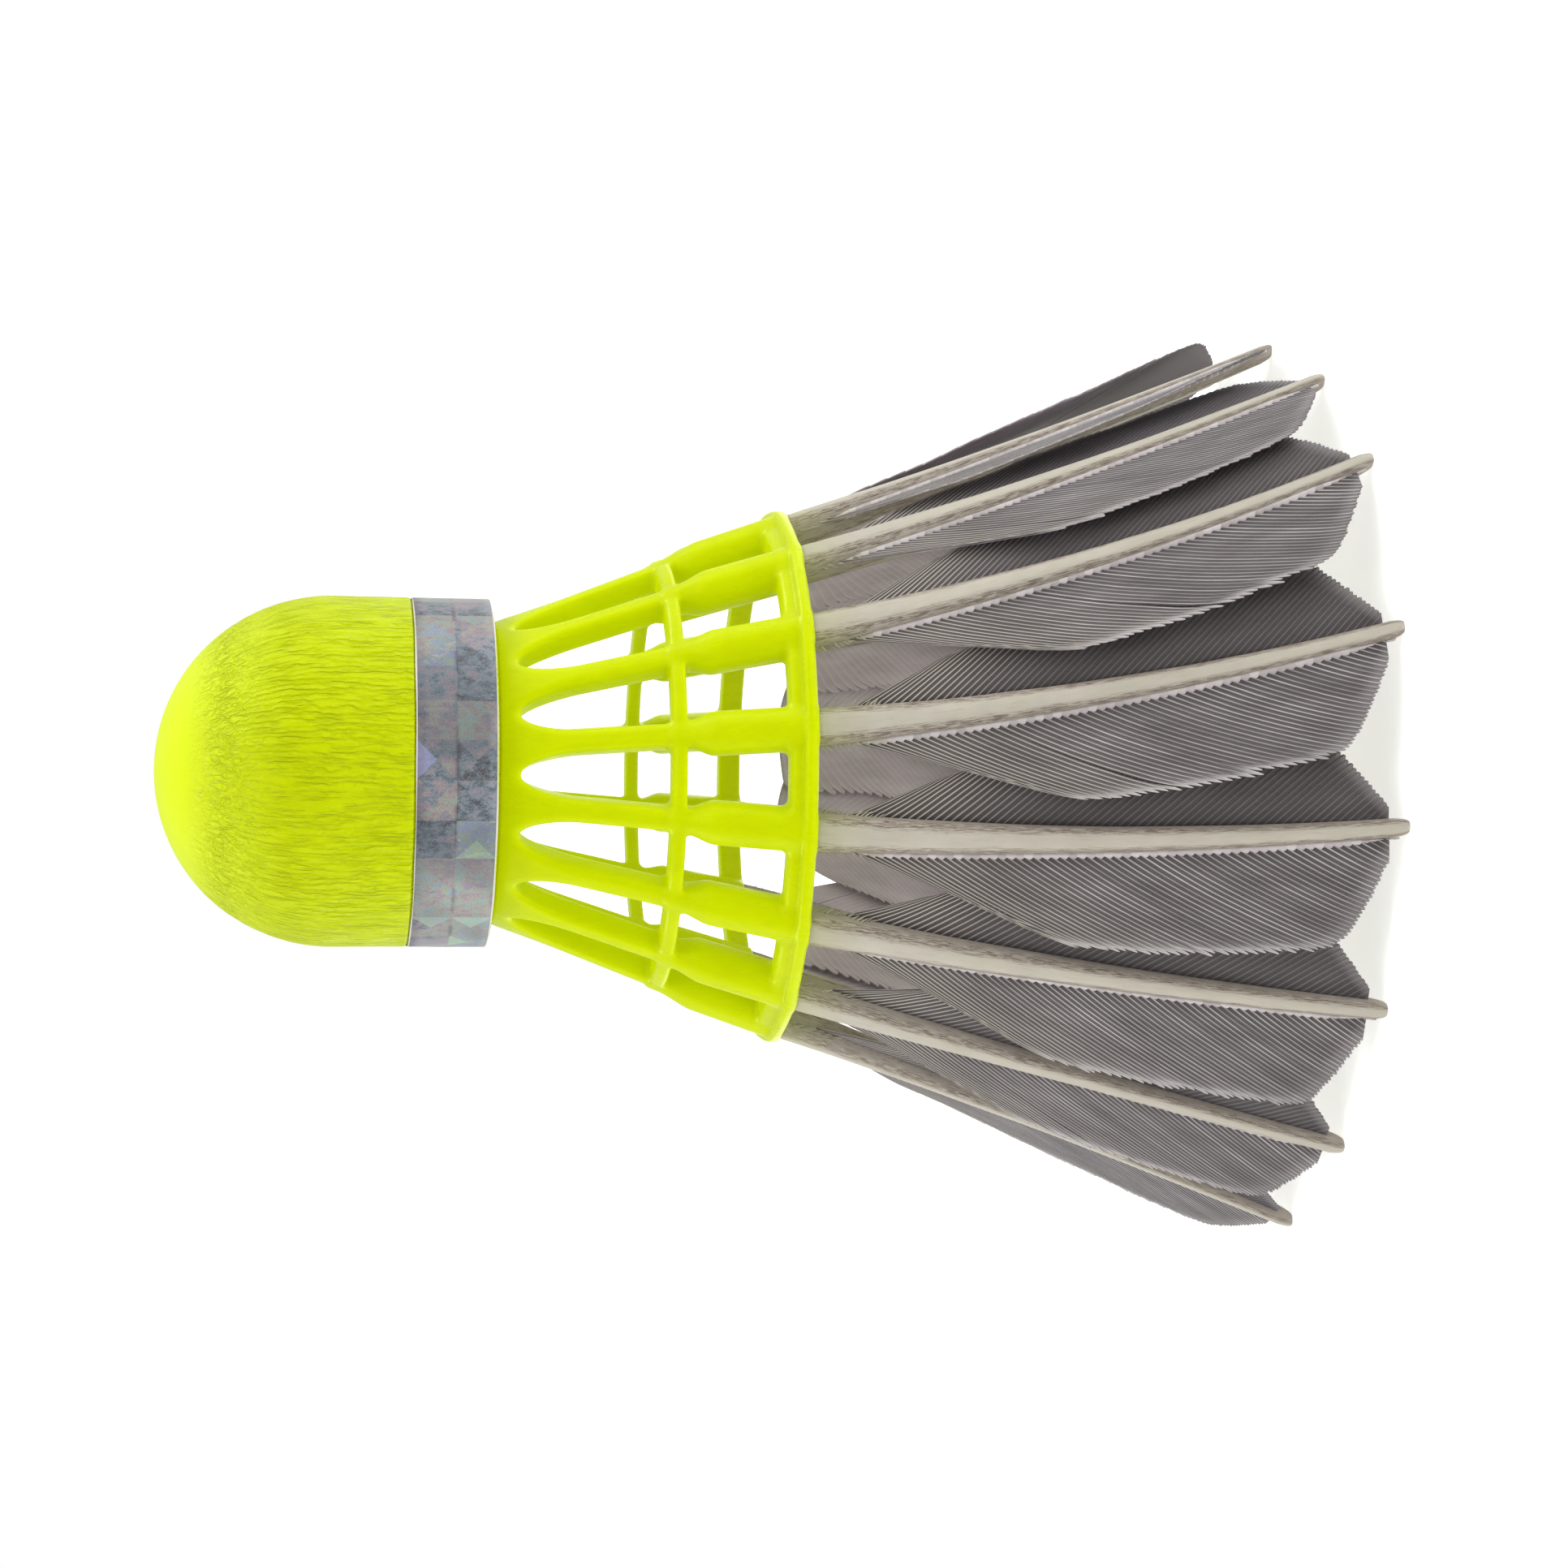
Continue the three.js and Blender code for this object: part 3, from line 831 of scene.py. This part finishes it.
def basket(material, first_azimuth):
    """The basket moulded in one: collar, struts, rings, sockets and bead."""
    fine = 0.175  # the surface net's step
    angles = np.linspace(-PITCH / 2, PITCH / 2, 41)
    radii = np.arange(9.0, 20.7, fine)
    heights = np.arange(CROWN - 2 * fine, TOP + 0.4, fine)
    points, quads = sector_surface(basket_distance, angles, radii, heights)
    angle, radius, height = settle(basket_distance, points, 0.06).T
    count = len(points)
    rings, faces = [], []
    for sector in range(FEATHERS):
        turned = angle + first_azimuth + sector * PITCH
        rings.append(round_axis(radius, turned, height))
        faces.append((quads[..., 1] + (quads[..., 0] + sector) * count) % (count * FEATHERS))
    make_piece("basket", np.concatenate(rings), faces, material, "basket_plastic",
               ["skirt_frame"])


def basket_plug(material):
    """The basket's roof and the cup that stands up into the cork, with its vent hole. Two
    more points along each side of its section keep the corners crisp."""
    high = BASKET_HIGH[2]
    floor = high - 1.3  # of the cup
    roof = TOP - 1.4    # the roof's underside
    corners = np.array([
        (1.0, high), (7.7, high), (8.0, high - 0.3), (8.0, TOP + 0.3), (8.3, TOP), (9.5, TOP),
        (9.78, TOP - 0.2), (9.78, roof + 0.2), (9.6, roof), (7.0, roof), (6.7, roof + 0.3),
        (6.7, floor - 0.3), (6.4, floor), (1.0, floor)])
    following = np.roll(corners, -1, 0)
    section = np.stack([corners, (corners * 2 + following) / 3, (corners + following * 2) / 3], 1)
    radius, height = np.hsplit(section.reshape(-1, 2), 2)
    points = round_axis(radius, circle(96), height)
    faces = [loft_faces(*points.shape[:2], closed=True)]
    make_piece("basket_plug", points.reshape(-1, 3), faces, material, "basket_plastic",
               ["skirt_frame"])


# ------ shafts

def shaft_width(height):
    """A shaft's width: it narrows towards the tip, and a little inside its socket."""
    along = 1 - height / CROWN
    inside = np.clip((height - CROWN) / (QUILL_TOP - CROWN), 0, 1)
    free = 2.75 - 2.2 * along + 0.75 * along ** 2
    return np.where(height > CROWN, 2.42 * (1 - 0.28 * inside), free)


def shaft(feather, material):
    """The quill and shaft: a horny rod with fine grooves, its end cut and worn round."""
    worn_end = 0.9
    heights = np.concatenate([np.linspace(QUILL_TOP, CROWN, 14),
                              np.linspace(CROWN, worn_end, 96)[1:],
                              [0.65, 0.42, 0.24, 0.1, 0.02, 0.0]])[:, None]
    worn = 0.5 + 0.5 * np.sqrt(np.clip(heights / worn_end, 0, 1)) ** 0.7
    top = np.clip((QUILL_TOP - heights) / 0.5, 0, 1) ** 0.5 * 0.3 + 0.7
    half = shaft_width(heights) / 2 * worn * top
    depth = half * np.interp(heights, [0, CROWN], [1.08, 1.02])

    theta = circle(36)
    cos, sin = np.cos(theta), np.sin(theta)
    power = 2 / 2.5  # between a round section and a square one
    across = np.sign(cos) * np.abs(cos) ** power
    outwards = np.sign(sin) * np.abs(sin) ** power
    seat = stacked(cos * 4.5, sin * 4.5, heights * 0.11)
    groove = noise_at(seat, 1.0, 20 + feather.number)
    wave = noise_at(seat * [0.15, 0.15, 1.6], 1.0, 40 + feather.number)
    grown = 1 + (0.035 * groove + 0.03 * wave) * (heights < CROWN - 0.5)
    points = feather.place(heights, half * across * grown, depth * outwards * grown)
    ends = feather.place(np.array([QUILL_TOP, 0.0]), 0, 0)

    along = stacked(theta / (2 * math.pi) * 7, heights + feather.number * 3)
    # crown also marks where the quill takes painted light bounced off the basket.
    side, crown = np.broadcast_arrays(np.abs(across), np.clip(1 - (CROWN - heights) / 4, 0, 1))
    name = f"shaft_{feather.number:02d}"
    make_piece(name, *capped_loft(points, ends), material, "quill", [name], {
        "along": with_ends(along, along[[0, -1], 0]),
        "side": with_ends(side, [0.5, 0.5]),
        "crown": with_ends(crown, [1, 0]),
    })


# ------ vanes

BARBS = 61
ROWS = 6  # mesh rows to a barb
FIRST_BARB, LAST_BARB = 0.065, 0.985  # shares of the shaft's free length

# side is 1 where the tips lead. root_lift and rises give how far outwards the vane lies: at
# the shaft, and for each mm out and its square. outline pairs a share of the shaft's free
# length, counted down, with how far the vane's edge is from the centre line there. steepness
# is the barbs' fall for each mm out, what is added near the crown, and the shares where that
# starts and over which it fades. curve bends their paths.
OVER_VANE = {
    "name": "over_vane",
    "side": -1,
    "root_lift": 0.2,
    "rises": (0.17, 0.013),
    "outline": [(0.03, 0.9), (0.06, 1.6), (0.09, 2.3), (0.14, 3.4), (0.21, 4.5), (0.29, 5.7),
                (0.395, 6.7), (0.5, 7.2), (0.65, 7.5), (0.84, 7.45), (0.88, 7.2), (0.895, 6.8),
                (0.911, 6.0), (0.99, 0.5), (1.0, -1.0)],
    "steepness": (1.4, 1.0, 0.07, 0.05),
    "curve": 0.056,
}
UNDER_VANE = {
    "name": "under_vane",
    "side": 1,
    "root_lift": -0.1,
    "rises": (-0.02, 0.004),
    "outline": [(0.04, 0.9), (0.07, 1.6), (0.1, 2.3), (0.14, 3.2), (0.21, 4.3), (0.31, 5.5),
                (0.45, 6.6), (0.7, 6.8), (0.84, 6.7), (0.87, 6.2), (0.985, 0.6), (1.0, -1.0)],
    "steepness": (1.05, 0.8, 0.075, 0.06),
    "curve": 0.01,
}


def barb_paths(kind, fullness, rows, reach):
    """The heights of the barbs' paths at a reach out from the shaft's side. rows is a column
    of mesh rows, counted in barbs."""
    first = FIRST_BARB + 0.025 * fullness
    along = first + (LAST_BARB - first) * rows / BARBS
    base, extra, start, fade = kind["steepness"]
    steepness = base + (1 - fullness) * extra * np.exp(-(along - start) / fade)
    steepness *= 1 - 0.9 * fullness * np.exp(-(along - first) / 0.08)
    return CROWN * (1 - along) - steepness * reach - kind["curve"] * reach ** 2


def vane_sections(feather, kind):
    """Where a vane is split: runs of mesh rows from one split to the next."""
    splits = feather.random.integers(0, 2) if kind["side"] < 0 else 0
    places = np.sort(feather.random.choice(np.arange(6, 40, 5), splits, replace=False))
    edges = [0, *places.tolist(), BARBS]
    return list(zip(edges[:-1], edges[1:]))


def rows_out(kind, fullness, rows):
    """Where mesh rows start beside the shaft, and how far out they run to the outline."""
    outline, edge = np.array(kind["outline"]).T
    edge = edge + fullness * np.interp(outline, [0.1, 0.14, 0.3], [3.0, 2.0, 0.0])
    fine = np.linspace(0, 9, 121)
    paths = barb_paths(kind, fullness, rows, fine)
    root_gap = shaft_width(paths[:, :1]) / 2 - 0.05
    past = root_gap + fine - np.interp(1 - paths / CROWN, outline, edge)
    last = np.maximum((past > 0).argmax(1), 1)
    row = np.arange(len(rows))
    over, under = past[row, last], past[row, last - 1]
    reach = fine[last] - fine[1] * over / np.maximum(over - under, 1e-6)
    return root_gap, reach[:, None]


class Bodies:
    """The closed bodies of a vane, gathered into one piece with its maps."""

    def __init__(self):
        self.points, self.faces = [], []
        self.maps = {"barb": [], "inner": [], "tip": [], "tone": [], "ledge": []}

    def add(self, points, faces, **maps):
        """One closed body. Each map has a value for every point or one for all, and barb's
        values are pairs."""
        first = sum(map(len, self.points))
        self.points.append(points.reshape(-1, 3))
        self.faces += [block + first for block in turned_out(points, faces)]
        for name, values in maps.items():
            pair = (2,) if name == "barb" else ()
            full = np.broadcast_to(values, points.shape[:-1] + pair)
            self.maps[name].append(full.reshape(-1, *pair))


def both_faces(outer, inner):
    """Rings that run out along a sheet's outer face and back along its inner one."""
    return np.concatenate([outer, inner[:, ::-1]], 1)


def add_barbs(bodies, feather, kind, start, end, jitter, tones):
    """The barbs from one split to the next, as a thin sheet of ridges with a ragged edge."""
    side = kind["side"]
    fullness = feather.fullness[side]
    share = np.linspace(0, 1, 15) ** 0.9
    share = share * 0.97 + 0.03 * smoothstep(0.8, 1, share)
    rows = np.linspace(start + 0.06, end - 0.06, (end - start) * ROWS + 1)[:, None]
    barb = rows.astype(int)
    crest = 1 - (2 * np.abs(rows % 1 - 0.5)) ** 2
    root_gap, reach = rows_out(kind, fullness, rows)
    rough = 1 - 0.75 * smoothstep(0.45, 0.62, 1 - barb_paths(kind, fullness, rows, 0) / CROWN)
    tooth = (0.4 * (crest - 0.7) + jitter[barb]) * rough
    reach = np.maximum(reach + tooth * np.clip(reach / 2, 0, 1), 0.25)

    along_row = reach * share
    to_tip = reach - along_row
    height = barb_paths(kind, fullness, rows, along_row)
    curl = 0.45 * rough * np.clip(reach / 3, 0, 1)
    height -= curl * np.clip(1 - to_tip / 0.9, 0, 1) ** 2
    parted = feather.random.uniform(0.08, 0.2) * smoothstep(0.35, 1, share) ** 1.4
    if start > 0:
        height -= parted * np.exp(-(rows - start) / 2.5)
    if end < BARBS:
        height += parted * np.exp(-(end - rows) / 2.5)
    height = np.maximum(height, 1.2)

    across = root_gap + along_row
    first, second = kind["rises"]
    lift = kind["root_lift"] + first * along_row + second * along_row ** 2
    swell_seed = feather.number * 2 + (side > 0)
    lift = lift + 0.16 * noise_at(stacked(across, height, swell_seed * 9), 0.22, 7) * share
    ridge = 0.04 * crest * (0.4 + 0.6 * smoothstep(0.0, 0.2, share))
    thin = 0.075 - 0.03 * share
    outer = feather.place(height, side * across, lift + thin + ridge)
    inner = feather.place(height, side * across, lift - thin - 0.3 * ridge)
    ring = both_faces(outer, inner)
    count, around = ring.shape[:2]
    faces = [loft_faces(count, around), cap_faces(0, around)[:, ::-1],
             cap_faces((count - 1) * around, around)]
    place = stacked(rows, across)
    tip = np.clip(1 - to_tip / 0.5, 0, 1) * rough
    bodies.add(ring, faces, barb=both_faces(place, place),
               inner=both_faces(np.zeros_like(height), np.ones_like(height)),
               tip=both_faces(tip, tip), tone=tones[barb], ledge=0.0)


def add_ledge(bodies, feather, kind, tones):
    """The ledge of barb roots along the shaft's flank, with a row of small teeth."""
    rows = np.linspace(0.0, BARBS, BARBS * ROWS + 1)[:, None]
    part = rows % 1
    turn = circle(8)
    tooth = np.where(part < 0.75, part / 0.75, (1 - part) / 0.25)
    fade = np.clip(rows / 3, 0.2, 1) * np.clip((BARBS - rows) / 6, 0.3, 1)
    height = barb_paths(kind, feather.fullness[kind["side"]], rows, 0)
    out = 0.2 * fade * np.cos(turn) + 0.2 * tooth * fade * (np.cos(turn) > 0.3)
    across = shaft_width(height) / 2 + 0.05 + out
    lift = 0.2 - 0.25 * out + 0.34 * fade * np.sin(turn)
    points, faces = capped_loft(feather.place(height, kind["side"] * across, lift))
    number, tone = np.broadcast_arrays(rows, tones[rows.astype(int)], out)[:2]
    bodies.add(points, faces, barb=stacked(with_ends(number, [0, BARBS]), 1.2), inner=0.0,
               tip=0.0, tone=with_ends(tone, [0.5, 0.5]), ledge=1.0)


def add_hairs(bodies, feather, kind):
    """Stubs of trimmed barbs beside the shaft, from the basket down to the first barbs."""
    random = feather.random
    share = np.linspace(0, 1, 5)[:, None]
    turn = circle(5)
    for start in np.arange(0.25, 4.2, 0.3):
        length = random.uniform(0.35, 0.8)
        fall = random.uniform(0.4, 0.8)
        root = CROWN - start
        thick = 0.07 * (1 - share) ** 0.7 + 0.012
        across = shaft_width(root) / 2 - 0.1 + length * share * np.cos(fall)
        across = across + thick * np.cos(turn) * np.sin(fall)
        height = root - length * share * np.sin(fall) - 0.15 * share ** 2
        height = height + thick * np.cos(turn) * np.cos(fall)
        lift = random.uniform(0.0, 0.4) + thick * np.sin(turn)
        points, faces = capped_loft(feather.place(height, kind["side"] * across, lift))
        bodies.add(points, faces, barb=1.0, inner=0.0, tip=0.3, tone=random.uniform(0, 1),
                   ledge=random.uniform(0.5, 0.9))


def vane(feather, kind, material):
    """A vane made of ridges that follow its barbs. It is split here and there, where barbs
    have parted and bunched together."""
    jitter = feather.random.normal(0, 0.08, BARBS + 1)
    tones = feather.random.uniform(0, 1, BARBS + 1)
    bodies = Bodies()
    for start, end in vane_sections(feather, kind):
        add_barbs(bodies, feather, kind, start, end, jitter, tones)
    if kind["side"] < 0:
        add_ledge(bodies, feather, kind, tones)
    if feather.fullness[kind["side"]] < 0.6:
        add_hairs(bodies, feather, kind)
    name = f"{kind['name']}_{feather.number:02d}"
    maps = {key: np.concatenate(values) for key, values in bodies.maps.items()}
    make_piece(name, np.concatenate(bodies.points), bodies.faces, material, "feather_vane",
               [name], maps)


# ------ building

feathers = [Feather(k + 1, LEANS[k], SPREADS[k]) for k in range(FEATHERS)]

leather = cover_leather()
foil = rim_foil(TAPE_HIGH[2] - TAPE_LOW[2])
plastic = basket_plastic()
horn = quill_horn()
# Crest lines, partly painted highlight: bright and strong on the over vanes, faint on the under
# vanes.
over_barbs = feather_barbs("over_vane", (66, 59, 59), (90, 84, 84), (202, 196, 196), 0.92)
under_barbs = feather_barbs("under_vane", (62, 55, 55), (72, 65, 65), (140, 135, 142), 0.34)
grain = cork_grain()

head_cover(leather)
rim_tape(foil)
basket(plastic, feathers[0].azimuth)
basket_plug(plastic)
for cork in ("cork_nose", "cork_base"):
    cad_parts[cork].data.materials.clear()
    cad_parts[cork].data.materials.append(grain)
for feather in feathers:
    shaft(feather, horn)
    vane(feather, OVER_VANE, over_barbs)
    vane(feather, UNDER_VANE, under_barbs)


# ------ floor, light, camera

def stage_floor():
    """A pale round floor, wide enough to run out of sight."""
    around = 96
    radii = np.array([200.0, 600.0, 1500.0, 4000.0])[:, None]
    rings = round_axis(radii, circle(around), 0.0).reshape(-1, 3)
    faces = [fan_faces(0, around, len(rings)), loft_faces(len(radii), around)[:, ::-1]]
    look = Shader("floor")
    place = look.place()
    tone = look.noise(place, 0.01)
    away = look.vector_math("LENGTH", place, "Value")
    look.set(
        Base_Color=look.mix(tone, (250, 250, 250), (246, 246, 246)),
        Roughness=1.0,
        Specular_IOR_Level=0.0,
        Emission_Color=(1.0, 1.0, 1.0, 1.0),
        Emission_Strength=look.range(away, 40.0, 150.0, 0.6, 0.62),
    )
    floor = make_object("floor", [*rings, [0, 0, 0]], faces, look.material)


def area_light(name, place, size, power):
    """A soft square light that faces the middle of the object. place and size are in mm."""
    light = bpy.data.lights.new(name, "AREA")
    light.shape = "SQUARE"
    light.size = size * MM
    light.energy = power
    lamp = bpy.data.objects.new(name, light)
    spot = Vector(place) * MM
    middle = Vector((0, 0, 45)) * MM
    lamp.location = spot
    lamp.rotation_euler = (middle - spot).to_track_quat("-Z", "Y").to_euler()
    bpy.context.scene.collection.objects.link(lamp)


def studio_world(strength):
    """Even white light all round, seen as plain white."""
    world = bpy.data.worlds.new("studio")
    world.use_nodes = True
    tree = world.node_tree
    seen = tree.nodes.new("ShaderNodeLightPath").outputs["Is Camera Ray"]
    level = tree.nodes.new("ShaderNodeMapRange")
    tree.links.new(seen, level.inputs[0])
    level.inputs[3].default_value = strength
    level.inputs[4].default_value = 1.0
    backdrop = tree.nodes["Background"]
    backdrop.inputs["Color"].default_value = (1, 1, 1, 1)
    tree.links.new(level.outputs[0], backdrop.inputs["Strength"])
    bpy.context.scene.world = world


def side_camera():
    """A camera beside the shuttlecock that looks slightly down at it. It lies on its side, so
    that the nose points left."""
    away = 240 * MM
    down = math.radians(9.217)
    roll = 0.0115
    swing = math.radians(0.7)
    aim_share = 0.441  # of the height
    aim_side = -0.56 * MM
    camera = bpy.data.cameras.new("camera")
    camera.lens = 72.58
    camera.sensor_width = 36
    camera.clip_start = 0.001
    camera.clip_end = 20
    view = bpy.data.objects.new("camera", camera)
    right = Vector((0, -math.sin(down), -math.cos(down)))
    up = Vector((1, 0, 0))
    back = Vector((0, -math.cos(down), math.sin(down)))
    axes = Matrix((right, up, back)).transposed().to_4x4() @ Matrix.Rotation(roll, 4, "Z")
    low, high = CAD_BOX
    aim = Vector((aim_side, 0, low[2] + aim_share * (high[2] - low[2])))
    turn = Matrix.Rotation(swing, 4, "Z")
    view.matrix_world = turn @ Matrix.Translation(aim + back * away) @ axes
    bpy.context.scene.collection.objects.link(view)
    bpy.context.scene.camera = view


stage_floor()
area_light("key_light", (120, -160, 440), 400, 0.75)
area_light("nose_upper", (305, 130, 370), 170, 0.55)
area_light("nose_lower", (-280, 90, 400), 170, 0.55)
area_light("upper_light", (440, -80, 150), 400, 0.5)
area_light("lower_light", (-440, -80, 150), 400, 0.5)
studio_world(0.5)
side_camera()
bpy.context.scene.view_settings.view_transform = "Standard"
